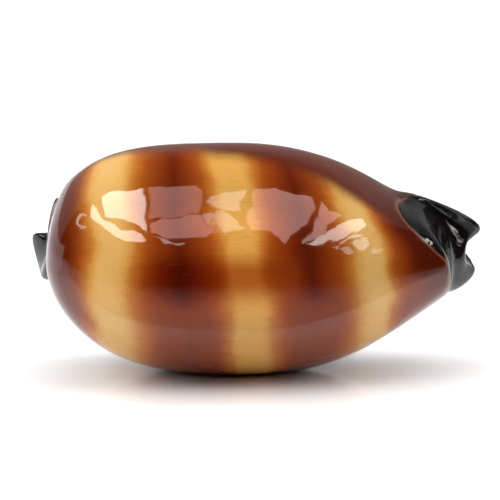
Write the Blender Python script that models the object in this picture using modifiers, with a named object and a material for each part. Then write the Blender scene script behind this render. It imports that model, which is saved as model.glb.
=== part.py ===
"""A mole cowrie lying on its outer-lip side, as one closed, hollow, faceted solid.

Metres, +Z up. The anterior end points to +X. The back faces -Y and a little down, and the
toothed base faces +Y and a little up. The origin is under the middle of the shell, on the
surface that it rests on.

The wall is one cage of rings. Each ring runs from the outer lip over the back to the inner
lip, and home through the cavity, and subdivision rounds the cage into the shell.
"""

import math
from collections import namedtuple

import bmesh
import bpy
from mathutils import Matrix, Vector
from mathutils.bvhtree import BVHTree

MM = 0.001

# How the shell lies: the back is turned down from level, and a worn spot carries it.
ROLL = math.radians(15)
REST_WEAR = 0.52 * MM
GROUND_SIZE = 200 * MM

# The wall, in millimetres: over the back, at the sides, and through the lips and the canals.
BACK_WALL = 1.6
SIDE_WALL = 2.2
LIP_DEPTH = 5.0
CANAL_DEPTH = 2.4
LIP_ROUNDING = 1.3
NARROW_SHARE = 1 / 3  # the most of a narrow wall that the lip's rounding takes
LIP_RISE = 0.4
INSET = 2.6  # how far all that is inside stands back from the end rims
LIP_NARROWEST = 0.45  # share of the lips' depth at which the aperture is narrowest
LIP_FLARE = 0.3  # how much wider each side of the aperture is at the lips' inner corners
CANAL_FLARE = 0.1  # and how much wider each side of an end canal is
CAVITY_SPRING = 0.25  # share of the cavity's height at which its roof starts to arch

# How much squarer than an ellipse a ring is between its margins and its back or base.
BACK_FULLNESS = 0.02
BASE_FULLNESS = 0.06
BASE_TAPER = 1.5  # and how fast a narrow base draws in from its margin to the lip's crest
# Subdivision pulls a ring inside its cage, so the cage is larger by these factors.
CAGE_OVERSIZE = 1.045
CAVITY_OVERSIZE = 1.09
DOME_CREST = 0.8  # crease of the edge where the back ends, above the anterior groove

# The rings, from the posterior end to the anterior end, in millimetres. s is across the
# shell, towards the inner (columellar) lip, and d is towards the back.
#   x             labial margin, back, columellar margin, columellar lip, labial lip
#   lab col       how far the labial and the columellar margin stand out, along s
#   dor mar bas   levels of the back, the margins and the base, along d
#   dip           hollow between the back and the columellar margin
#   slit gape     middle and half width of the aperture
#   hollow        share of the ring's inside that is cavity, and not canal
Ring = namedtuple("Ring", "name x lab col dor mar bas dip slit gape hollow")


def level_ring(name, x, *sizes):
    return Ring(name, (x, x, x, x, x), *sizes)


RINGS = (
    Ring("posterior rim", (-37.4, -35.9, -34.7, -34.7, -39.3), 6.2, 5.4, -5.4, -8.2, -11.2, 0, 1.1, 1.1, 0),
    Ring("posterior lobe", (-37.4, -35.4, -34.3, -34.4, -38.9), 7.8, 6.8, -4.4, -7.8, -12.0, 0, 1.0, 1.2, 0),
    Ring("posterior groove", (-35.2, -34.6, -33.8, -33.7, -36.4), 8.0, 7.2, -3.6, -7.8, -12.6, 0, 0.8, 1.2, 0.1),
    Ring("pole", (-33.2, -35.4, -33.6, -33.0, -33.6), 5.6, 7.0, 3.0, -6.0, -13.2, 0, 0.5, 1.2, 0.5),
    Ring("posterior dome", (-32.2, -33.4, -32.2, -31.2, -31.4), 10.4, 11.4, 10.4, -4.0, -13.6, 0, -0.2, 1.1, 0.9),
    level_ring("shoulder", -25.7, 16.6, 16.5, 15.6, -2.6, -14.4, 0, -1.4, 1.0, 1),
    level_ring("posterior body", -17.0, 19.6, 18.6, 17.6, -1.8, -15.0, 0, -2.3, 0.95, 1),
    level_ring("widest", -7.0, 20.5, 18.9, 18.0, -1.6, -15.2, 0, -2.8, 0.95, 1),
    level_ring("middle", 3.0, 20.4, 18.9, 18.0, -1.8, -15.2, 0, -3.0, 1.0, 1),
    level_ring("anterior body", 13.0, 19.1, 16.0, 15.6, -2.6, -14.4, 0, -3.0, 1.15, 1),
    Ring("taper", (21.5, 22.0, 19.0, 21.0, 21.0), 15.0, 12.2, 11.8, -4.0, -13.2, 0, -2.8, 1.4, 0.9),
    Ring("dome end", (31.6, 32.4, 23.6, 26.0, 28.0), 8.5, 8.8, 5.0, -5.2, -12.2, 0, -2.6, 1.7, 0.6),
    Ring("anterior groove", (32.4, 32.8, 24.6, 29.6, 31.2), 9.4, 9.1, -1.4, -5.8, -11.6, 6.6, -2.4, 1.9, 0.2),
    Ring("recess", (34.4, 34.0, 31.0, 33.0, 33.6), 9.0, 7.0, -2.6, -5.6, -11.2, 6.4, -2.3, 1.8, 0),
    Ring("collar", (36.8, 35.6, 36.4, 36.0, 36.2), 7.4, 4.5, -3.8, -5.8, -10.6, 2.8, -2.2, 1.6, 0),
    Ring("anterior rim", (38.8, 35.6, 39.5, 38.2, 37.0), 5.0, 1.8, -5.4, -6.6, -10.2, 0.4, -2.0, 1.4, 0),
)

# Angles from the labial margin, over the back or the base, to the columellar margin.
BACK_ANGLES = (0, 30, 60, 90, 120, 150, 180)
BASE_ANGLES = (32, 60)
CAVITY_ANGLES = (0, 45, 90, 135, 180)
LIP_POINTS = 3
SUBDIVISIONS = 2
KEPT_FACES = 0.45  # share of the subdivided faces that the faceted solid keeps

# The teeth of the two lips, in millimetres.
LABIAL_TEETH = 30
COLUMELLAR_TEETH = 27
TEETH_FROM, TEETH_TO = -29.0, 27.5
TOOTH_WIDTH, TOOTH_LENGTH, TOOTH_HEIGHT = 1.05, 3.4, 1.3
TOOTH_SINK = 0.3
TOOTH_SIDES, TOOTH_STEPS = 6, 4  # faces round a tooth, and from end to end

SHELL_BROWN = (0.16, 0.035, 0.01, 1.0)
SHELL_ROUGHNESS = 0.08


def blend(a, b, share):
    return a + (b - a) * share


def lip_crest(ring, side):
    """How far across the crest of a lip stands, nearer the aperture where the wall is narrow."""
    margin = ring.col if side > 0 else -ring.lab
    edge = ring.slit + side * ring.gape
    return edge + side * min(LIP_ROUNDING, abs(margin - edge) * NARROW_SHARE)


def outline(ring, degrees, above):
    """A point of the ring's outer outline, at an angle from the labial margin."""
    angle = math.radians(degrees)
    across, up = math.cos(angle), math.sin(angle)
    fullness = BACK_FULLNESS if above else BASE_FULLNESS
    swell = CAGE_OVERSIZE * (1 + fullness * math.sin(2 * angle) ** 2)
    middle, half = (ring.col - ring.lab) / 2, (ring.col + ring.lab) / 2
    x_labial, x_back, x_columellar, x_columellar_lip, x_labial_lip = ring.x
    x_side, x_lip = (x_labial, x_labial_lip) if across > 0 else (x_columellar, x_columellar_lip)
    x_end = x_back if above else x_lip
    level = ring.dor if above else ring.bas
    dip = ring.dip * math.sin(2 * angle) ** 2 * up if above and across < 0 else 0
    place = middle - half * across * swell
    if not above:
        side = -1 if across > 0 else 1
        least = blend(lip_crest(ring, side), middle + side * half, abs(across) ** BASE_TAPER)
        place = side * max(side * place, side * least)
    return (
        blend(x_end, x_side, across**2),
        place,
        ring.mar + (level - ring.mar) * up * swell - dip,
    )


def lip_points(ring, side):
    """The lip on one side of the aperture, from its crest on the base to its inner corner."""
    depth = blend(CANAL_DEPTH, LIP_DEPTH, ring.hollow)
    x = ring.x[3] if side > 0 else ring.x[4]
    inset = math.copysign(INSET, x)
    return [
        (x, lip_crest(ring, side), ring.bas - LIP_RISE),
        (x - inset / 2, ring.slit + side * ring.gape, ring.bas + LIP_NARROWEST * depth),
        (x - inset, ring.slit + side * (ring.gape + LIP_FLARE), ring.bas + depth),
    ]


def cavity_points(ring):
    """The inside of the ring, from the columellar side over the top to the labial side."""
    inside = CAVITY_OVERSIZE * ((ring.col + ring.lab) / 2 - SIDE_WALL)
    middle = blend(ring.slit, (ring.col - ring.lab) / 2, ring.hollow)
    half = blend(ring.gape + CANAL_FLARE, inside, ring.hollow)
    floor = ring.bas + blend(CANAL_DEPTH, LIP_DEPTH, ring.hollow)
    roof = (ring.dor - BACK_WALL) * blend(1, CAVITY_OVERSIZE, ring.hollow)
    x_labial, x_back, x_columellar, x_columellar_lip, x_labial_lip = ring.x
    points = []
    for degrees in CAVITY_ANGLES:
        angle = math.radians(degrees)
        across, up = math.cos(angle), math.sin(angle)
        x_low = (x_columellar + x_columellar_lip) / 2 if across > 0 else (x_labial + x_labial_lip) / 2
        points.append(
            (
                blend(x_back, x_low, across**2) - math.copysign(INSET, x_back),
                middle + half * across,
                blend(floor, roof, blend(CAVITY_SPRING, 1, up)),
            )
        )
    return points


def ring_points(ring):
    """All the points of one ring, in order round the wall."""
    below_labial = [outline(ring, angle, False) for angle in reversed(BASE_ANGLES)]
    back = [outline(ring, angle, True) for angle in BACK_ANGLES]
    below_columellar = [outline(ring, 180 - angle, False) for angle in BASE_ANGLES]
    return [
        *reversed(lip_points(ring, -1)),
        *below_labial,
        *back,
        *below_columellar,
        *lip_points(ring, 1),
        *cavity_points(ring),
    ]


def close_rim(mesh, row):
    """Joins the outside of an end ring to its inside, from one lip round to the other."""
    outside = row[LIP_POINTS - 1 : 1 - LIP_POINTS - len(CAVITY_ANGLES)]
    lips = row[: LIP_POINTS - 1], row[1 - LIP_POINTS - len(CAVITY_ANGLES) : -len(CAVITY_ANGLES)]
    inside = [*reversed(lips[0]), *reversed(row[-len(CAVITY_ANGLES) :]), *reversed(lips[1])]
    steps = len(outside) - 1
    for k in range(steps):
        i = round(k * (len(inside) - 1) / steps)
        j = round((k + 1) * (len(inside) - 1) / steps)
        mesh.faces.new((outside[k], outside[k + 1], *((inside[j],) if i == j else (inside[j], inside[i]))))


def make_cage(name):
    """A mesh of quads through the rings, closed at both rims."""
    mesh = bmesh.new()
    rows = [[mesh.verts.new(Vector(point) * MM) for point in ring_points(ring)] for ring in RINGS]
    for near, far in zip(rows, rows[1:]):
        for k in range(len(near)):
            n = (k + 1) % len(near)
            mesh.faces.new((near[k], near[n], far[n], far[k]))
    for row in (rows[0], rows[-1]):
        close_rim(mesh, row)
    bmesh.ops.recalc_face_normals(mesh, faces=mesh.faces)
    crease = mesh.edges.layers.float.new("crease_edge")
    crest = rows[[ring.name for ring in RINGS].index("dome end")]
    labial_margin = LIP_POINTS + len(BASE_ANGLES)
    for k in range(labial_margin, labial_margin + len(BACK_ANGLES) - 1):
        mesh.edges.get((crest[k], crest[k + 1]))[crease] = DOME_CREST
    data = bpy.data.meshes.new(name)
    mesh.to_mesh(data)
    mesh.free()
    return bpy.data.objects.new(name, data)


def along_rings(x, size):
    """A size of the rings at x, between the two rings that x lies between."""
    places = [((ring.x[3] + ring.x[4]) / 2, getattr(ring, size)) for ring in RINGS]
    for (x0, size0), (x1, size1) in zip(places, places[1:]):
        if x0 <= x <= x1:
            return blend(size0, size1, (x - x0) / (x1 - x0))
    raise ValueError(f"x {x} is past the end rings")


def make_teeth(shell):
    """Short ridges across both lips, each seated where a ray from below meets the lip's corner."""
    surface = BVHTree.FromObject(shell, bpy.context.evaluated_depsgraph_get())
    mesh = bmesh.new()
    tooth_size = Matrix.Diagonal(Vector((TOOTH_WIDTH, TOOTH_LENGTH, TOOTH_HEIGHT)) * MM / 2)
    for side, count in ((-1, LABIAL_TEETH), (1, COLUMELLAR_TEETH)):
        outward = Vector((0, -side, -1)).normalized()
        along = Vector((0, -outward.z, outward.y))
        tooth = (Matrix((Vector((1, 0, 0)), along, outward)).transposed() @ tooth_size).to_4x4()
        for k in range(count):
            x = blend(TEETH_FROM, TEETH_TO, k / (count - 1))
            corner = along_rings(x, "slit") + side * (along_rings(x, "gape") + LIP_ROUNDING / 2)
            below = Vector((x, corner, 2 * along_rings(x, "bas"))) * MM
            seat = surface.ray_cast(below, Vector((0, 0, 1)))[0]
            place = Matrix.Translation(seat - outward * TOOTH_SINK * MM)
            bmesh.ops.create_uvsphere(
                mesh, u_segments=TOOTH_SIDES, v_segments=TOOTH_STEPS, radius=1, matrix=place @ tooth
            )
    data = bpy.data.meshes.new("teeth")
    mesh.to_mesh(data)
    mesh.free()
    return bpy.data.objects.new("teeth", data)


def make_cutter(collection, obj):
    """Keeps a helper object out of the model."""
    collection.objects.link(obj)
    obj.display_type = "WIRE"
    obj.hide_render = True
    return obj


def add_boolean(shell, operation, other):
    boolean = shell.modifiers.new(other.name, "BOOLEAN")
    boolean.operation = operation
    boolean.object = other


def lay_down(shell, teeth):
    """Turns the shell, modelled with its back up, onto its outer-lip side over the origin."""
    across = Vector((0, -math.sin(ROLL), math.cos(ROLL)))
    up = Vector((0, -math.cos(ROLL), -math.sin(ROLL)))
    turn = Matrix((Vector((1, 0, 0)), across, up)).transposed().to_4x4()
    for obj in (shell, teeth):
        obj.data.transform(turn)
    evaluated = shell.evaluated_get(bpy.context.evaluated_depsgraph_get())
    corners = [Vector(corner) for corner in evaluated.bound_box]
    low = Vector([min(corner[i] for corner in corners) for i in range(3)])
    high = Vector([max(corner[i] for corner in corners) for i in range(3)])
    middle = (low + high) / 2
    shift = Matrix.Translation(-Vector((middle.x, middle.y, low.z + REST_WEAR)))
    for obj in (shell, teeth):
        obj.data.transform(shift)


def make_ground(size):
    """A block whose top is the surface that the shell rests on."""
    mesh = bmesh.new()
    bmesh.ops.create_cube(mesh, size=size, matrix=Matrix.Translation((0, 0, -size / 2)))
    data = bpy.data.meshes.new("ground")
    mesh.to_mesh(data)
    mesh.free()
    return bpy.data.objects.new("ground", data)


def shell_material():
    material = bpy.data.materials.new("shell")
    material.use_nodes = True
    finish = material.node_tree.nodes["Principled BSDF"]
    finish.inputs["Base Color"].default_value = SHELL_BROWN
    finish.inputs["Roughness"].default_value = SHELL_ROUGHNESS
    finish.inputs["Metallic"].default_value = 0
    return material


def main():
    for obj in list(bpy.data.objects):
        bpy.data.objects.remove(obj)
    cowrie = bpy.data.collections.new("cowrie")
    cutters = bpy.data.collections.new("cutters")
    for collection in (cowrie, cutters):
        bpy.context.scene.collection.children.link(collection)

    shell = make_cage("cowrie_shell")
    cowrie.objects.link(shell)
    shell.data.materials.append(shell_material())
    rounding = shell.modifiers.new("rounding", "SUBSURF")
    rounding.levels = rounding.render_levels = SUBDIVISIONS
    teeth = make_cutter(cutters, make_teeth(shell))
    fewer = shell.modifiers.new("fewer faces", "DECIMATE")
    fewer.ratio = KEPT_FACES
    add_boolean(shell, "UNION", teeth)
    lay_down(shell, teeth)
    add_boolean(shell, "DIFFERENCE", make_cutter(cutters, make_ground(GROUND_SIZE)))
    shell.data.shade_smooth()


main()
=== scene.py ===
"""The look of the cowrie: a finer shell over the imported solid, its enamel, and a plain studio."""

import math
from collections import namedtuple

import bmesh
import bpy
from mathutils import Matrix, Vector
from mathutils.bvhtree import BVHTree
from mathutils.geometry import tessellate_polygon

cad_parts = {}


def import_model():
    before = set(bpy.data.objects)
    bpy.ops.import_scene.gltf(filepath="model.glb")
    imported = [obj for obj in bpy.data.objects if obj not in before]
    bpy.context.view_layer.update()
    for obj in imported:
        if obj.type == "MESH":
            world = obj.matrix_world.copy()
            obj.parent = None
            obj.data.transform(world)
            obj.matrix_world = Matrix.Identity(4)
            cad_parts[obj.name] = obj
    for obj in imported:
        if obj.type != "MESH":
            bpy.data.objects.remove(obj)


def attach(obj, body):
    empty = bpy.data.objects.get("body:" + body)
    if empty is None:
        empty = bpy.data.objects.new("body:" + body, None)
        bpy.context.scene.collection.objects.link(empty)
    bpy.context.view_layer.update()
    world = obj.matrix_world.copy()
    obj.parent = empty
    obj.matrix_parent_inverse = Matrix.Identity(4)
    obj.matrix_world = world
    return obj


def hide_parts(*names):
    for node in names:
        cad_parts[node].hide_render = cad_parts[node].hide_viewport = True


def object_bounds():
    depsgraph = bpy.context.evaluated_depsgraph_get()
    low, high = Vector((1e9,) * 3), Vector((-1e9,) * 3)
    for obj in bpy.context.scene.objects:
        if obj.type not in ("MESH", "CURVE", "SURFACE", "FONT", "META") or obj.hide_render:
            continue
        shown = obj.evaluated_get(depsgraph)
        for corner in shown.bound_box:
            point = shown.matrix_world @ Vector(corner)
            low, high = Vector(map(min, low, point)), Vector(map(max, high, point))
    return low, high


MM = 0.001

# The shell's form, in millimetres or as shares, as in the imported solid.
ROLL = math.radians(15)
REST_WEAR = 0.52
BACK_WALL = 1.6
SIDE_WALL = 2.2
LIP_DEPTH = 5.0
CANAL_DEPTH = 2.4
LIP_ROUNDING = 1.3
NARROW_SHARE = 1 / 3
LIP_RISE = 0.4
INSET = 2.6
LIP_NARROWEST = 0.45
LIP_FLARE = 0.3
CANAL_FLARE = 0.1
CAVITY_SPRING = 0.25
BACK_FULLNESS = 0.02
BASE_FULLNESS = 0.06
BASE_TAPER = 1.5
CAGE_OVERSIZE = 1.045
CAVITY_OVERSIZE = 1.09
DOME_CREST = 0.8

# x is given at the labial margin, the back, the columellar margin, the columellar lip and the labial
# lip. Across is s and up is d. lab and col are how far across the margins stand, and dor, mar and bas
# are how high the back, the margins and the base are. dip sinks the back on its columellar side. slit
# and gape are the slit's middle and half its width, and hollow opens the inside from canal to cavity.
Ring = namedtuple("Ring", "name x lab col dor mar bas dip slit gape hollow")


def level_ring(name, x, *sizes):
    return Ring(name, (x, x, x, x, x), *sizes)


RINGS = (
    Ring(
        "posterior rim", (-37.4, -35.9, -34.7, -34.7, -39.3),
        6.2, 5.4, -5.4, -8.2, -11.2, 0, 1.1, 1.1, 0,
    ),
    Ring(
        "posterior lobe", (-37.4, -35.4, -34.3, -34.4, -38.9),
        7.8, 6.8, -4.4, -7.8, -12.0, 0, 1.0, 1.2, 0,
    ),
    Ring(
        "posterior groove", (-35.2, -34.6, -33.8, -33.7, -36.4),
        8.0, 7.2, -3.6, -7.8, -12.6, 0, 0.8, 1.2, 0.1,
    ),
    Ring("pole", (-33.2, -35.4, -33.6, -33.0, -33.6), 5.6, 7.0, 3.0, -6.0, -13.2, 0, 0.5, 1.2, 0.5),
    Ring(
        "posterior dome", (-32.2, -33.4, -32.2, -31.2, -31.4),
        10.4, 11.4, 10.4, -4.0, -13.6, 0, -0.2, 1.1, 0.9,
    ),
    level_ring("shoulder", -25.7, 16.6, 16.5, 15.6, -2.6, -14.4, 0, -1.4, 1.0, 1),
    level_ring("posterior body", -17.0, 19.6, 18.6, 17.6, -1.8, -15.0, 0, -2.3, 0.95, 1),
    level_ring("widest", -7.0, 20.5, 18.9, 18.0, -1.6, -15.2, 0, -2.8, 0.95, 1),
    level_ring("middle", 3.0, 20.4, 18.9, 18.0, -1.8, -15.2, 0, -3.0, 1.0, 1),
    level_ring("anterior body", 13.0, 19.1, 16.0, 15.6, -2.6, -14.4, 0, -3.0, 1.15, 1),
    Ring("taper", (21.5, 22.0, 19.0, 21.0, 21.0), 15.0, 12.2, 11.8, -4.0, -13.2, 0, -2.8, 1.4, 0.9),
    Ring("dome end", (31.6, 32.4, 23.6, 26.0, 28.0), 8.5, 8.8, 5.0, -5.2, -12.2, 0, -2.6, 1.7, 0.6),
    Ring(
        "anterior groove", (32.4, 32.8, 24.6, 29.6, 31.2),
        9.4, 9.1, -1.4, -5.8, -11.6, 6.6, -2.4, 1.9, 0.2,
    ),
    Ring("recess", (34.4, 34.0, 31.0, 33.0, 33.6), 9.0, 7.0, -2.6, -5.6, -11.2, 6.4, -2.3, 1.8, 0),
    Ring("collar", (36.8, 35.6, 36.4, 36.0, 36.2), 7.4, 4.5, -3.8, -5.8, -10.6, 2.8, -2.2, 1.6, 0),
    Ring("anterior rim", (38.8, 35.6, 39.5, 38.2, 37.0), 5.0, 1.8, -5.4, -6.6, -10.2, 0.4, -2.0, 1.4, 0),
)
BACK_ANGLES = (0, 30, 60, 90, 120, 150, 180)
BASE_ANGLES = (32, 60)
CAVITY_ANGLES = (0, 45, 90, 135, 180)
LIP_POINTS = 3
SUBDIVISIONS = 4

# The teeth of the two lips, in millimetres.
LABIAL_TEETH = 30
COLUMELLAR_TEETH = 27
TEETH_FROM, TEETH_TO = -29.0, 27.5
TOOTH_SIZE = Vector((1.05, 3.4, 1.3))
TOOTH_SINK = 0.3
TOOTH_SEGMENTS, TOOTH_RINGS = 16, 10

# The camera looks at the shell's middle, a little from above, from 0.3 m away. The aim is in
# millimetres from the origin of the shell's own axes.
CAMERA_ELEVATION = math.radians(10)
CAMERA_DISTANCE = 0.30
CAMERA_AIM = Vector((-1.0, 0.203, 1.152)) * MM
SENSOR_WIDTH = 36
LENS = 129.03
CLIP_START = 0.01
PHOTO_WIDTH = 500

# Colours, linear.
STRAW = (0.60, 0.37, 0.125, 1)
AMBER = (0.54, 0.285, 0.062, 1)
ORANGE = (0.40, 0.135, 0.018, 1)
CHESTNUT = (0.25, 0.044, 0.0045, 1)
RUSSET = (0.11, 0.012, 0.0026, 1)
MAROON = (0.058, 0.0062, 0.002, 1)
BROWN = (0.085, 0.016, 0.007, 1)
UMBER = (0.022, 0.009, 0.006, 1)
BLACK = (0.006, 0.005, 0.005, 1)
# The pale tint of a painted highlight along the rim of the dome's anterior end.
RIM_HIGHLIGHT_TINT = (0.52, 0.36, 0.20, 1)
DULLING = (0.55, 0.28, 0.16, 1)
BRIGHTENING = (1.35, 1.28, 1.2, 1)
WHITE = (1, 1, 1, 1)
UNLIT = (0, 0, 0, 1)
PAPER = (0.93, 0.93, 0.94, 1)
SHADED_PAPER = (0.90, 0.90, 0.91, 1)


def blend(a, b, share):
    return a + (b - a) * share


# The cage, ring by ring


def lip_crest(ring, side):
    """How far across the crest of a lip stands, nearer the aperture where the wall is narrow."""
    margin = ring.col if side > 0 else -ring.lab
    edge = ring.slit + side * ring.gape
    return edge + side * min(LIP_ROUNDING, abs(margin - edge) * NARROW_SHARE)


def outline(ring, degrees, above):
    """A point of the ring's outer outline, at an angle from the labial margin."""
    angle = math.radians(degrees)
    across, up = math.cos(angle), math.sin(angle)
    fullness = BACK_FULLNESS if above else BASE_FULLNESS
    swell = CAGE_OVERSIZE * (1 + fullness * math.sin(2 * angle) ** 2)
    middle, half = (ring.col - ring.lab) / 2, (ring.col + ring.lab) / 2
    x_labial, x_back, x_columellar, x_columellar_lip, x_labial_lip = ring.x
    x_side, x_lip = (x_labial, x_labial_lip) if across > 0 else (x_columellar, x_columellar_lip)
    x_end = x_back if above else x_lip
    level = ring.dor if above else ring.bas
    dip = ring.dip * math.sin(2 * angle) ** 2 * up if above and across < 0 else 0
    place = middle - half * across * swell
    if not above:
        side = -1 if across > 0 else 1
        least = blend(lip_crest(ring, side), middle + side * half, abs(across) ** BASE_TAPER)
        place = side * max(side * place, side * least)
    return (
        blend(x_end, x_side, across**2),
        place,
        ring.mar + (level - ring.mar) * up * swell - dip,
    )


def lip_points(ring, side):
    """The lip on one side of the aperture, from its crest on the base to its inner corner."""
    depth = blend(CANAL_DEPTH, LIP_DEPTH, ring.hollow)
    x = ring.x[3] if side > 0 else ring.x[4]
    inset = math.copysign(INSET, x)
    return [
        (x, lip_crest(ring, side), ring.bas - LIP_RISE),
        (x - inset / 2, ring.slit + side * ring.gape, ring.bas + LIP_NARROWEST * depth),
        (x - inset, ring.slit + side * (ring.gape + LIP_FLARE), ring.bas + depth),
    ]


def cavity_points(ring):
    """The inside of the ring, from the columellar side over the top to the labial side."""
    inside = CAVITY_OVERSIZE * ((ring.col + ring.lab) / 2 - SIDE_WALL)
    middle = blend(ring.slit, (ring.col - ring.lab) / 2, ring.hollow)
    half = blend(ring.gape + CANAL_FLARE, inside, ring.hollow)
    floor = ring.bas + blend(CANAL_DEPTH, LIP_DEPTH, ring.hollow)
    roof = (ring.dor - BACK_WALL) * blend(1, CAVITY_OVERSIZE, ring.hollow)
    x_labial, x_back, x_columellar, x_columellar_lip, x_labial_lip = ring.x
    points = []
    for degrees in CAVITY_ANGLES:
        angle = math.radians(degrees)
        across, up = math.cos(angle), math.sin(angle)
        x_low = (x_columellar + x_columellar_lip) / 2 if across > 0 else (x_labial + x_labial_lip) / 2
        points.append(
            (
                blend(x_back, x_low, across**2) - math.copysign(INSET, x_back),
                middle + half * across,
                blend(floor, roof, blend(CAVITY_SPRING, 1, up)),
            )
        )
    return points


def ring_points(ring):
    """All the points of one ring, in order round the wall."""
    below_labial = [outline(ring, angle, False) for angle in reversed(BASE_ANGLES)]
    back = [outline(ring, angle, True) for angle in BACK_ANGLES]
    below_columellar = [outline(ring, 180 - angle, False) for angle in BASE_ANGLES]
    return [
        *reversed(lip_points(ring, -1)),
        *below_labial,
        *back,
        *below_columellar,
        *lip_points(ring, 1),
        *cavity_points(ring),
    ]


def close_rim(mesh, row):
    """Joins the outside of an end ring to its inside, from one lip round to the other."""
    outside = row[LIP_POINTS - 1 : 1 - LIP_POINTS - len(CAVITY_ANGLES)]
    lips = row[: LIP_POINTS - 1], row[1 - LIP_POINTS - len(CAVITY_ANGLES) : -len(CAVITY_ANGLES)]
    inside = [*reversed(lips[0]), *reversed(row[-len(CAVITY_ANGLES) :]), *reversed(lips[1])]
    steps = len(outside) - 1
    for k in range(steps):
        i = round(k * (len(inside) - 1) / steps)
        j = round((k + 1) * (len(inside) - 1) / steps)
        mesh.faces.new((outside[k], outside[k + 1], *((inside[j],) if i == j else (inside[j], inside[i]))))


def along_rings(x, size):
    """A size of the rings at x, between the two rings that x lies between."""
    places = [((ring.x[3] + ring.x[4]) / 2, getattr(ring, size)) for ring in RINGS]
    for (x0, size0), (x1, size1) in zip(places, places[1:]):
        if x0 <= x <= x1:
            return blend(size0, size1, (x - x0) / (x1 - x0))
    raise ValueError(f"x {x} is past the end rings")


def link(obj):
    bpy.context.scene.collection.objects.link(obj)
    return obj


def as_object(name, mesh):
    data = bpy.data.meshes.new(name)
    mesh.to_mesh(data)
    mesh.free()
    return link(bpy.data.objects.new(name, data))


def make_shell():
    """The shell's surface in its own axes, in metres, rounded from the cage."""
    mesh = bmesh.new()
    rows = [[mesh.verts.new(Vector(point) * MM) for point in ring_points(ring)] for ring in RINGS]
    for near, far in zip(rows, rows[1:]):
        for k in range(len(near)):
            n = (k + 1) % len(near)
            mesh.faces.new((near[k], near[n], far[n], far[k]))
    for row in (rows[0], rows[-1]):
        close_rim(mesh, row)
    bmesh.ops.recalc_face_normals(mesh, faces=mesh.faces)
    crease = mesh.edges.layers.float.new("crease_edge")
    crest = rows[[ring.name for ring in RINGS].index("dome end")]
    labial_margin = LIP_POINTS + len(BASE_ANGLES)
    for k in range(labial_margin, labial_margin + len(BACK_ANGLES) - 1):
        mesh.edges.get((crest[k], crest[k + 1]))[crease] = DOME_CREST
    cage = as_object("cage", mesh)
    rounding = cage.modifiers.new("rounding", "SUBSURF")
    rounding.levels = rounding.render_levels = SUBDIVISIONS
    evaluated = cage.evaluated_get(bpy.context.evaluated_depsgraph_get())
    data = bpy.data.meshes.new_from_object(evaluated)
    bpy.data.objects.remove(cage)
    data.name = "shell"
    return link(bpy.data.objects.new("shell", data))


def make_teeth(shell):
    """Smooth ridges across both lips, each seated where a ray from below meets the lip's corner."""
    surface = BVHTree.FromObject(shell, bpy.context.evaluated_depsgraph_get())
    mesh = bmesh.new()
    tooth_size = Matrix.Diagonal(TOOTH_SIZE * MM / 2)
    for side, count in ((-1, LABIAL_TEETH), (1, COLUMELLAR_TEETH)):
        outward = Vector((0, -side, -1)).normalized()
        along = Vector((0, -outward.z, outward.y))
        tooth = (Matrix((Vector((1, 0, 0)), along, outward)).transposed() @ tooth_size).to_4x4()
        for k in range(count):
            x = blend(TEETH_FROM, TEETH_TO, k / (count - 1))
            corner = along_rings(x, "slit") + side * (along_rings(x, "gape") + LIP_ROUNDING / 2)
            below = Vector((x, corner, 2 * along_rings(x, "bas"))) * MM
            seat = surface.ray_cast(below, Vector((0, 0, 1)))[0]
            place = Matrix.Translation(seat - outward * TOOTH_SINK * MM)
            bmesh.ops.create_uvsphere(
                mesh, u_segments=TOOTH_SEGMENTS, v_segments=TOOTH_RINGS, radius=1, matrix=place @ tooth
            )
    return as_object("teeth", mesh)


def lay_down(shell, others, low, high):
    """Turns the shell onto its outer-lip side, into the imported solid's box, and wears its rest."""
    across = Vector((0, -math.sin(ROLL), math.cos(ROLL)))
    up = Vector((0, -math.cos(ROLL), -math.sin(ROLL)))
    turn = Matrix((Vector((1, 0, 0)), across, up)).transposed().to_4x4()
    shell.data.transform(turn)
    points = [vertex.co for vertex in shell.data.vertices]
    lowest = Vector([min(point[i] for point in points) for i in range(3)])
    highest = Vector([max(point[i] for point in points) for i in range(3)])
    shift = (Vector(low) + Vector(high) - lowest - highest) / 2
    shift.z = -lowest.z - REST_WEAR * MM
    shell.data.transform(Matrix.Translation(shift))
    for obj in others:
        obj.data.transform(Matrix.Translation(shift) @ turn)
    for vertex in shell.data.vertices:
        vertex.co.z = max(vertex.co.z, 0)
    return shift


# Materials


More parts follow.
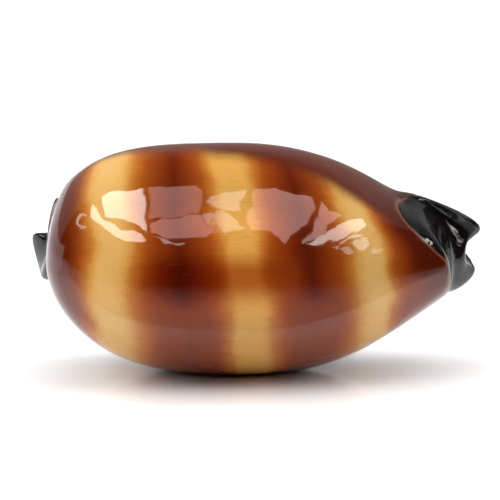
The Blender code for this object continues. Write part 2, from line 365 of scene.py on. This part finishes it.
class Nodes:
    """Short calls for the nodes of one material."""

    def __init__(self, tree):
        self.tree = tree

    def add(self, kind, *values, **settings):
        """A node, its settings, and its first inputs."""
        node = self.tree.nodes.new("ShaderNode" + kind)
        for name, value in settings.items():
            setattr(node, name, value)
        for socket, value in zip(node.inputs, values):
            self.put(socket, value)
        return node

    def put(self, socket, value):
        if isinstance(value, bpy.types.NodeSocket):
            self.tree.links.new(value, socket)
        elif value is not None:
            socket.default_value = value

    def math(self, operation, *values):
        return self.add("Math", *values, operation=operation).outputs[0]

    def product(self, first, *factors):
        for factor in factors:
            first = self.math("MULTIPLY", first, factor)
        return first

    def smooth(self, value, start, end):
        """0 at start, 1 at end, and a smooth step between them."""
        return self.add("MapRange", value, start, end, interpolation_type="SMOOTHSTEP").outputs[0]

    def between(self, value, rise, fall):
        """1 between two smooth steps, each given by where it is 0 and where it is 1."""
        return self.product(self.smooth(value, *rise), self.smooth(value, *fall))

    def scaled(self, vector, size):
        return self.add("VectorMath", vector, size, operation="MULTIPLY").outputs[0]

    def noise(self, vector, scale, detail=2.0, roughness=0.5):
        node = self.add("TexNoise")
        inputs = {"Vector": vector, "Scale": scale, "Detail": detail, "Roughness": roughness}
        for name, value in inputs.items():
            self.put(node.inputs[name], value)
        return node.outputs["Fac"]

    def drawn_noise(self, vector, size, scale, detail, roughness):
        """Noise drawn out along one axis, by the size that the place is scaled with."""
        return self.noise(self.scaled(vector, size), scale, detail, roughness)

    def mix(self, share, a, b, blend_type="MIX"):
        node = self.add("Mix", data_type="RGBA", blend_type=blend_type)
        for name, value in (("Factor_Float", share), ("A_Color", a), ("B_Color", b)):
            self.put(next(socket for socket in node.inputs if socket.identifier == name), value)
        return next(socket for socket in node.outputs if socket.identifier == "Result_Color")

    def curve(self, value, points):
        """A smooth curve through points, over 0 to 1."""
        node = self.add("FloatCurve")
        self.put(node.inputs["Value"], value)
        line = node.mapping.curves[0].points
        for _ in points[2:]:
            line.new(0.5, 0.5)
        for point, place in zip(line, sorted(points)):
            point.location = place
        node.mapping.update()
        return node.outputs[0]

    def ramp(self, value, stops):
        """Colours at places along 0 to 1, with smooth changes between them."""
        node = self.add("ValToRGB", value)
        node.color_ramp.interpolation = "B_SPLINE"
        marks = node.color_ramp.elements
        for _ in stops[2:]:
            marks.new(0.5)
        for mark, (place, _) in zip(marks, stops):
            mark.position = place
        for mark, (_, colour) in zip(marks, stops):
            mark.color = colour
        return node.outputs[0]


def new_material(name, **values):
    material = bpy.data.materials.new(name)
    material.use_nodes = True
    finish = material.node_tree.nodes["Principled BSDF"]
    for socket, value in values.items():
        finish.inputs[socket.replace("_", " ")].default_value = value
    return material, Nodes(material.node_tree), finish


# The middle of each pale band, in millimetres along the shell, at angles round the back. Angle 0 is
# the top of the back, and the columellar side is at positive angles.
BANDS = (
    (
        (-180, -22.5), (-40, -23.0), (-20, -23.0), (0, -24.0), (18, -23.8), (29, -23.4),
        (60, -24.2), (93, -24.0), (180, -22.0),
    ),
    (
        (-180, 0.0), (-43, -0.4), (3, -1.2), (29, -2.4), (55, -3.2), (78, -4.3), (100, -5.5),
        (180, -6.0),
    ),
    (
        (-180, 18.0), (-38, 19.5), (-10, 20.2), (4, 19.6), (16, 18.9), (29, 19.0), (55, 16.5),
        (70, 15.2), (82, 13.7), (180, 12.0),
    ),
)
# Half the width of each band, and how fast it ends on its posterior and its anterior side.
BAND_HALF = (4.0, 3.3, 3.4)
BAND_ENDS = ((1.25, 1.0), (1.0, 1.0), (1.0, 1.35))
BAND_REACH = 3.6
CURVE_SPAN = 80.0
BAND_COLOURS = (
    (0.0, AMBER), (0.17, AMBER), (0.29, ORANGE), (0.43, CHESTNUT), (0.70, RUSSET), (0.90, MAROON),
)

# Noises over the shell: the size along each axis where one is drawn out, scale, detail, roughness.
STREAKS = ((0.10, 1.5, 1.5), 1.0, 5.0, 0.6)
THREADS = ((0.3, 4.0, 4.0), 1.0, 3.0, 0.6)
CLOUDS = (0.11, 3.0, 0.55)
SWELLS = (0.16, 2.0, 0.4)
RIPPLES = ((0.5, 1.2, 1.2), 0.5, 3.0, 0.5)
LUMPS = (0.35, 2.0, 0.5)

# How far the noises move the bands along the shell, and the edges round it.
STREAK_DRIFT, CLOUD_DRIFT, MEAN_DRIFT = 1.0, 2.6, 1.8
EDGE_WAVE, MARGIN_WAVE = 10, 14

# The steps between the colours, each given by where it is 0 and where it is 1: along the shell in
# millimetres, round it in degrees, and across the bands as a share of their reach.
PALE_CORE = (0.30, 0.06)
STRAW_ENDS, STRAW_SHARE = (9, 17), 0.7
GAP_START, GAP_LIGHTENING, LOWER_BACK = 0.56, 0.8, (6, -6)
DULL_ANGLES = (-5, 13), (31, 17)
DULL_LENGTH = (-21, -15), (7, 1)
BRIGHT_ANGLES = (-18, 6), (60, 38)
BRIGHT_END = (17, 6)
BRIGHT_MIDDLE, BRIGHT_MIDDLE_SHARE = (-24, -14), 0.6
THREAD_LEVEL, THREAD_SHARE = (0.5, 0.8), 0.25
EDGE, EDGE_SLANT = (80, 96), 0.8
COLUMELLAR_MARGIN, COLUMELLAR_END = (116, 134), (-33.5, -31.0)
LABIAL_MARGIN = (-84, -104)
TIP, TIP_SHARE = (-26.5, -31.5), 0.8
LOBE_HEIGHT, LOBE_SIDE, LOBE_END = (-1.0, -4.0), (5.0, 3.0), (-32.5, -34.5)
SWEEP, COLUMELLAR_SWEEP, SWEEP_SIDE = 0.8, 8.0, (-2.0, 2.0)
RECESS = (32.2, 32.7)
DOME_TIP, DOME_TIP_SHARE = (25.0, 32.0), 0.85
# A painted highlight: a thin pale line along the rim where the dome meets the recess, its rise and fall
# along the reach, and its share.
PAINTED_RIM_HIGHLIGHT, PAINTED_RIM_HIGHLIGHT_SHARE = ((31.5, 31.9), (32.4, 32.1)), 0.12

# The teeth's and the paper's gloss, and the scale of the noise in their colours.
SATIN = {"Roughness": 0.12, "IOR": 1.6}
TOOTH_GRAIN = 900.0
PAPER_TONE = 9.0

# The enamel's gloss and its faint unevenness, which stops short of the dome's anterior end.
GLOSSY = {"Roughness": 0.05, "IOR": 1.5}
RIPPLE_SHARE, UNEVEN_END, LUMP_SHARE = 0.10, (24.0, 17.0), 1.6
UNEVENNESS = 0.10 * MM


def shell_axes(nodes, shift):
    """Places on the shell in its own axes, in millimetres: x, s across, d up, and the girth angle."""
    place = nodes.add("TexCoord").outputs["Object"]
    place = nodes.add("VectorMath", place, tuple(shift), operation="SUBTRACT").outputs[0]
    place = nodes.scaled(place, (1 / MM, 1 / MM, 1 / MM))
    x, y, z = nodes.add("SeparateXYZ", place).outputs
    cosine, sine = math.cos(ROLL), math.sin(ROLL)
    s = nodes.math("SUBTRACT", nodes.math("MULTIPLY", z, cosine), nodes.math("MULTIPLY", y, sine))
    d = nodes.math("MULTIPLY_ADD", y, -cosine, nodes.math("MULTIPLY", z, -sine))
    angle = nodes.math("MULTIPLY", nodes.math("ARCTAN2", s, d), 180 / math.pi)
    return place, x, s, d, angle


def band_distance(nodes, drifted, angle):
    """How far off the nearest band's middle is, as a share of the band's reach."""
    turn = nodes.math("MULTIPLY_ADD", angle, 1 / 360, 0.5)
    nearest = None
    for points, half, (posterior, anterior) in zip(BANDS, BAND_HALF, BAND_ENDS):
        line = [((degrees + 180) / 360, middle / CURVE_SPAN + 0.5) for degrees, middle in points]
        middle = nodes.math("MULTIPLY_ADD", nodes.curve(turn, line), CURVE_SPAN, -CURVE_SPAN / 2)
        apart = nodes.math("SUBTRACT", drifted, middle)
        ahead = nodes.math("MULTIPLY", apart, anterior)
        behind = nodes.math("MULTIPLY", apart, -posterior)
        apart = nodes.math("DIVIDE", nodes.math("MAXIMUM", ahead, behind), BAND_REACH * half)
        nearest = apart if nearest is None else nodes.math("MINIMUM", nearest, apart)
    # The gaps are lighter below the middle of the back.
    lower = nodes.math("MULTIPLY", nodes.smooth(angle, *LOWER_BACK), GAP_LIGHTENING)
    excess = nodes.math("MAXIMUM", nodes.math("SUBTRACT", nearest, GAP_START), 0)
    return nodes.math("SUBTRACT", nearest, nodes.math("MULTIPLY", excess, lower))


def back_colour(nodes, place, x, angle, clouds):
    """The back's pale bands over chestnut, moved along the shell by noise."""
    streaks = nodes.drawn_noise(place, *STREAKS)
    threads = nodes.drawn_noise(place, *THREADS)
    drift = nodes.math("MULTIPLY_ADD", streaks, STREAK_DRIFT, nodes.math("MULTIPLY", clouds, CLOUD_DRIFT))
    drifted = nodes.math("ADD", x, nodes.math("SUBTRACT", drift, MEAN_DRIFT))
    nearest = band_distance(nodes, drifted, angle)
    outer = nodes.smooth(nodes.math("ABSOLUTE", x), *STRAW_ENDS)
    pale = nodes.mix(nodes.math("MULTIPLY", outer, STRAW_SHARE), AMBER, STRAW)
    back = nodes.mix(nodes.smooth(nearest, *PALE_CORE), nodes.ramp(nearest, BAND_COLOURS), pale)
    # The middle is duller where the back is fullest, and brighter where it faces the light.
    fullest = nodes.between(angle, *DULL_ANGLES)
    central = nodes.between(drifted, *DULL_LENGTH)
    back = nodes.mix(nodes.math("MULTIPLY", fullest, central), back, DULLING, "MULTIPLY")
    middling = nodes.math(
        "MULTIPLY_ADD", nodes.smooth(x, *BRIGHT_MIDDLE), BRIGHT_MIDDLE_SHARE, 1 - BRIGHT_MIDDLE_SHARE
    )
    facing = nodes.product(nodes.between(angle, *BRIGHT_ANGLES), middling, nodes.smooth(x, *BRIGHT_END))
    back = nodes.mix(facing, back, BRIGHTENING, "MULTIPLY")
    # Fine threads run along the shell.
    thread = nodes.math("MULTIPLY", nodes.smooth(threads, *THREAD_LEVEL), THREAD_SHARE)
    back = nodes.mix(thread, back, CHESTNUT)
    edge = nodes.math("MULTIPLY_ADD", x, EDGE_SLANT, nodes.math("MULTIPLY_ADD", clouds, EDGE_WAVE, angle))
    return nodes.mix(nodes.smooth(edge, *EDGE), back, BROWN)


def margins(nodes, x, angle, clouds):
    """1 on the dark margins and the base, with a wavy edge."""
    columellar = nodes.smooth(nodes.math("MULTIPLY_ADD", clouds, MARGIN_WAVE, angle), *COLUMELLAR_MARGIN)
    columellar = nodes.math("MULTIPLY", columellar, nodes.smooth(x, *COLUMELLAR_END))
    labial = nodes.smooth(nodes.math("MULTIPLY_ADD", clouds, -MARGIN_WAVE, angle), *LABIAL_MARGIN)
    return nodes.math("MAXIMUM", columellar, labial)


def anterior_reach(nodes, x, s, angle):
    """A length along the shell that is the same all along the dome's slanted anterior end."""
    half_turn = nodes.math("SINE", nodes.math("MULTIPLY", angle, math.pi / 180))
    squared = nodes.math("MULTIPLY", half_turn, half_turn)
    sweep = nodes.math("MULTIPLY_ADD", nodes.smooth(s, *SWEEP_SIDE), COLUMELLAR_SWEEP, SWEEP)
    return nodes.math("ADD", x, nodes.math("MULTIPLY", squared, sweep))


def unevenness(nodes, place, x, recess):
    """Faint swells and ripples in the enamel of the dome, and lumps in the recess."""
    ripples = nodes.drawn_noise(place, *RIPPLES)
    relief = nodes.math("MULTIPLY_ADD", ripples, RIPPLE_SHARE, nodes.noise(place, *SWELLS))
    relief = nodes.math("MULTIPLY", relief, nodes.smooth(x, *UNEVEN_END))
    lumps = nodes.math("MULTIPLY", nodes.noise(place, *LUMPS), recess)
    relief = nodes.math("MULTIPLY_ADD", lumps, LUMP_SHARE, relief)
    bump = nodes.add("Bump")
    for name, value in (("Strength", 1.0), ("Distance", UNEVENNESS), ("Height", relief)):
        nodes.put(bump.inputs[name], value)
    return bump.outputs["Normal"]


def enamel(shift):
    """Glossy banded enamel: pale bands over chestnut, dark margins, ends and base, with a painted rim
    highlight.
    """
    material, nodes, finish = new_material("shell enamel", **GLOSSY)
    place, x, s, d, angle = shell_axes(nodes, shift)
    clouds = nodes.noise(place, *CLOUDS)
    reach = anterior_reach(nodes, x, s, angle)
    recess = nodes.smooth(reach, *RECESS)
    lobe = nodes.product(
        nodes.smooth(d, *LOBE_HEIGHT), nodes.smooth(s, *LOBE_SIDE), nodes.smooth(x, *LOBE_END)
    )
    colour = back_colour(nodes, place, x, angle, clouds)
    for share, over in (
        (nodes.math("MULTIPLY", nodes.smooth(reach, *DOME_TIP), DOME_TIP_SHARE), MAROON),
        (nodes.math("MULTIPLY", nodes.smooth(x, *TIP), TIP_SHARE), MAROON),
        # A painted highlight along the rim of the dome's anterior end.
        (nodes.math("MULTIPLY", nodes.between(reach, *PAINTED_RIM_HIGHLIGHT), PAINTED_RIM_HIGHLIGHT_SHARE), RIM_HIGHLIGHT_TINT),
        (margins(nodes, x, angle, clouds), UMBER),
        (nodes.math("MAXIMUM", recess, lobe), BLACK),
    ):
        colour = nodes.mix(share, colour, over)
    nodes.put(finish.inputs["Base Color"], colour)
    nodes.put(finish.inputs["Normal"], unevenness(nodes, place, x, recess))
    return material


def tooth_enamel():
    material, nodes, finish = new_material("tooth enamel", **SATIN)
    place = nodes.add("TexCoord").outputs["Object"]
    nodes.put(finish.inputs["Base Color"], nodes.mix(nodes.noise(place, TOOTH_GRAIN), UMBER, BLACK))
    return material


# The studio


# The window's panes, where the shell mirrors them in the picture: tint, brightness and corners.
PANES = (
    ("day", 11.0, (102, 197), (110, 193), (145, 189), (148, 233), (137, 226), (121, 219), (106, 216)),
    (
        "day", 10.0, (94, 204), (91, 216), (104, 227), (120, 240), (147, 242), (138, 232), (121, 230),
        (104, 219), (98, 210),
    ),
    ("dusk", 3.6, (149, 188), (186, 186), (200, 190), (195, 212), (183, 216), (150, 218)),
    ("dusk", 4.6, (151, 224), (161, 219), (200, 214), (215, 232), (194, 239), (170, 238), (152, 232)),
    ("day", 4.5, (208, 201), (227, 192), (244, 189), (238, 203), (239, 212), (212, 207)),
    ("day", 4.5, (204, 214), (223, 210), (239, 219), (244, 230), (223, 233), (209, 222)),
    (
        "dusk", 5.0, (253, 188), (276, 189), (309, 197), (315, 208), (307, 222), (297, 230), (286, 244),
        (269, 230), (249, 230), (243, 214), (252, 204),
    ),
    (
        "dusk", 5.5, (320, 201), (328, 211), (341, 215), (329, 224), (322, 235), (302, 243), (311, 227),
        (318, 211),
    ),
    (
        "day", 9.0, (307, 243), (329, 230), (346, 219), (360, 217), (368, 225), (350, 232), (333, 240),
        (317, 245),
    ),
    ("day", 7.0, (337, 242), (351, 234), (363, 232), (356, 236), (340, 243)),
    ("day", 5.0, (351, 242), (361, 236), (369, 238), (371, 245), (358, 250)),
    ("day", 5.0, (154, 235.5), (165, 241), (180, 244.5), (192, 241), (178, 242)),
    ("day", 4.0, (330, 246), (335.5, 243), (339, 245.5), (335.5, 248.4)),
    ("day", 4.0, (340, 247), (347, 245), (351, 248), (352, 251.5), (349, 254.6), (343, 250.5)),
    (
        "day", 3.0, (372, 252.5), (378, 248.5), (384.5, 249), (389, 247.5), (387, 251), (383, 253),
        (376, 254.5),
    ),
    (
        "day", 5.0, (88, 214.5), (83, 213.5), (78.5, 216), (76.5, 220.5), (78, 225.5), (82, 228),
        (87, 227.5), (86, 225.5), (82.5, 225.5), (79.5, 223), (79, 220), (81, 217), (84, 216), (87, 216.5),
    ),
)
TINTS = {"day": (1.0, 0.94, 0.88, 1), "dusk": (1.0, 0.66, 0.60, 1)}
PANE_STEPS = 4
# How far round a spot the shell's facets are averaged, to find what it mirrors there.
NORMAL_REACH = MM

# The room, in metres. The cards are on its round wall, and the panes just inside them.
ROOM_RADIUS = 2.0
PANE_RADIUS = 1.9
FLOOR_HALF = 3
BACKDROP_Y = 0.44
BACKDROP_HEIGHT = 2
# Cards: azimuths, elevations, brightness, and the heights between which one fades out.
CARD_STEPS = 12
CARDS = (
    ("wall behind", (105, 250), (10, 66), 0.32, (1.8, 1.1)),
    ("low wall behind", (95, 265), (-2, 10), 1.0, None),
    ("bright wall", (140, 166), (12, 44), 0.8, None),
)
# The sheet just over the floor in front: its height, its edge on the shell's side, its brightness
# beside the shell, and the places along y between which that fades in.
FRONT_HEIGHT = 0.001
FRONT_EDGE = -0.02
FRONT_STRENGTH = 0.85
FRONT_FADE = (-0.07, -0.012)

# Lights: place, width, height, watts and colour. They face a point a little over the floor.
NEUTRAL = (1, 1, 1)
WARM = (1.0, 0.95, 0.91)
LIGHTS = (
    ("key", (-0.9, -0.12, 0.66), 1.0, 1.0, 12.5, NEUTRAL),
    ("side", (0.9, 0.1, 0.6), 1.0, 0.8, 10.0, NEUTRAL),
    ("overhead", (0.0, 0.3, 1.0), 1.4, 1.0, 13.0, NEUTRAL),
    ("fill", (0.0, -0.36, 1.1), 1.2, 0.5, 4.0, WARM),
)
LIGHT_AIM = Vector((0, 0, 0.02))


def sheet(name, near, far, material):
    """A flat sheet across the room, between two lines that are each given by y and z."""
    mesh = bmesh.new()
    corners = (-FLOOR_HALF, *near), (FLOOR_HALF, *near), (FLOOR_HALF, *far), (-FLOOR_HALF, *far)
    mesh.faces.new([mesh.verts.new(corner) for corner in corners])
    obj = as_object(name, mesh)
    obj.data.materials.append(material)
    return obj


def only_mirrored(obj):
    """Leaves a card to the shell's reflections: it neither shows nor lights."""
    obj.visible_camera = obj.visible_diffuse = obj.visible_shadow = False
    obj.visible_transmission = obj.visible_volume_scatter = False


def glow(name, colour, strength, fade=None, axis="Z"):
    """A card's light, which fades in between two places on an axis if they are given."""
    material, nodes, finish = new_material(
        name,
        Base_Color=UNLIT,
        Specular_IOR_Level=0,
        Emission_Color=colour,
        Emission_Strength=strength,
    )
    if fade:
        place = nodes.add("SeparateXYZ", nodes.add("TexCoord").outputs["Object"]).outputs[axis]
        light = nodes.math("MULTIPLY", nodes.smooth(place, *fade), strength)
        nodes.put(finish.inputs["Emission Strength"], light)
    return material


def sky_point(azimuth, elevation):
    """A place on the room's wall. Azimuth 0 is towards the camera, and 90 is to the right."""
    turn, rise = math.radians(azimuth), math.radians(elevation)
    level = math.cos(rise)
    return ROOM_RADIUS * Vector((math.sin(turn) * level, -math.cos(turn) * level, math.sin(rise)))


def sky_card(name, azimuths, elevations, strength, fade):
    """A soft card on the room's wall."""
    mesh = bmesh.new()
    shares = [k / CARD_STEPS for k in range(CARD_STEPS + 1)]
    rows = [
        [mesh.verts.new(sky_point(blend(*azimuths, i), blend(*elevations, j))) for i in shares]
        for j in shares
    ]
    for low, high in zip(rows, rows[1:]):
        for k in range(CARD_STEPS):
            mesh.faces.new((low[k], low[k + 1], high[k + 1], high[k]))
    card = as_object(name, mesh)
    card.data.materials.append(glow(name, WHITE, strength, fade))
    only_mirrored(card)


def mirrored(camera, surface, u, v):
    """The direction that the shell mirrors to the camera at a point of the picture."""
    scale = SENSOR_WIDTH / LENS / PHOTO_WIDTH
    ahead = Vector(((u - PHOTO_WIDTH / 2) * scale, (PHOTO_WIDTH / 2 - v) * scale, -1))
    sight = (camera.rotation_euler.to_matrix() @ ahead).normalized()
    spot = surface.ray_cast(camera.location, sight)[0]
    normal = Vector()
    for near in surface.find_nearest_range(spot, NORMAL_REACH):
        normal += near[1]
    return sight.reflect(normal.normalized())


def make_window(camera, shell):
    """Bright panes, each hung where the shell mirrors it to its place in the picture."""
    surface = BVHTree.FromObject(shell, bpy.context.evaluated_depsgraph_get())
    for k, (tint, strength, *corners) in enumerate(PANES):
        edge = []
        for (u0, v0), (u1, v1) in zip(corners, [*corners[1:], corners[0]]):
            for i in range(PANE_STEPS):
                share = i / PANE_STEPS
                edge.append(mirrored(camera, surface, blend(u0, u1, share), blend(v0, v1, share)))
        mesh = bmesh.new()
        outside = [mesh.verts.new(direction * PANE_RADIUS) for direction in edge]
        for triangle in tessellate_polygon([[vertex.co for vertex in outside]]):
            mesh.faces.new([outside[i] for i in triangle])
        pane = as_object(f"pane_{k}", mesh)
        pane.data.materials.append(glow(f"pane {k}", TINTS[tint], strength))
        only_mirrored(pane)


def paper():
    material, nodes, finish = new_material("white paper", **SATIN)
    place = nodes.add("TexCoord").outputs["Object"]
    tone = nodes.noise(place, PAPER_TONE)
    nodes.put(finish.inputs["Base Color"], nodes.mix(tone, PAPER, SHADED_PAPER))
    return material


def soft_light(name, place, width, height, energy, colour):
    """A soft box that faces the shell. The shell mirrors the cards and the window instead."""
    data = bpy.data.lights.new(name, "AREA")
    data.shape = "RECTANGLE"
    data.size, data.size_y = width, height
    data.energy = energy
    data.color = colour
    lamp = link(bpy.data.objects.new(name, data))
    lamp.location = place
    lamp.rotation_euler = (LIGHT_AIM - lamp.location).to_track_quat("-Z", "Y").to_euler()
    lamp.visible_glossy = False


def make_camera(shift):
    data = bpy.data.cameras.new("camera")
    data.sensor_width = SENSOR_WIDTH
    data.lens = LENS
    data.clip_start = CLIP_START
    camera = link(bpy.data.objects.new("camera", data))
    back = Vector((0, -math.cos(CAMERA_ELEVATION), math.sin(CAMERA_ELEVATION)))
    camera.location = shift + CAMERA_AIM + back * CAMERA_DISTANCE
    camera.rotation_euler = (math.pi / 2 - CAMERA_ELEVATION, 0, 0)
    bpy.context.scene.camera = camera
    return camera


def make_world():
    """Plain white to the camera, without light or reflections of its own."""
    world = bpy.data.worlds.new("room")
    bpy.context.scene.world = world
    world.use_nodes = True
    background = world.node_tree.nodes["Background"]
    background.inputs["Color"].default_value = WHITE
    background.inputs["Strength"].default_value = 1.0
    world.cycles_visibility.glossy = False
    world.cycles_visibility.diffuse = False


def make_studio(camera, shell):
    white = paper()
    sheet("floor", (-FLOOR_HALF, 0), (BACKDROP_Y, 0), white)
    backdrop = sheet("backdrop", (BACKDROP_Y, 0), (BACKDROP_Y, BACKDROP_HEIGHT), white)
    backdrop.visible_glossy = False
    make_world()
    for light in LIGHTS:
        soft_light(*light)
    for card in CARDS:
        sky_card(*card)
    make_window(camera, shell)
    # The shell mirrors the floor in front as pale beside it and dark further out.
    shade = glow("shade", WHITE, FRONT_STRENGTH, FRONT_FADE, "Y")
    near, far = (-FLOOR_HALF, FRONT_HEIGHT), (FRONT_EDGE, FRONT_HEIGHT)
    only_mirrored(sheet("dark front", near, far, shade))
    bpy.context.scene.view_settings.view_transform = "Standard"


def main():
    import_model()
    cad_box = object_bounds()
    shell = make_shell()
    teeth = make_teeth(shell)
    shift = lay_down(shell, [teeth], *cad_box)
    camera = make_camera(shift)
    shell.data.shade_smooth()
    teeth.data.shade_smooth()
    shell.data.materials.append(enamel(shift))
    teeth.data.materials.append(tooth_enamel())
    for piece in (shell, teeth):
        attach(piece, "root")
        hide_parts("cowrie_shell")
    make_studio(camera, shell)


main()
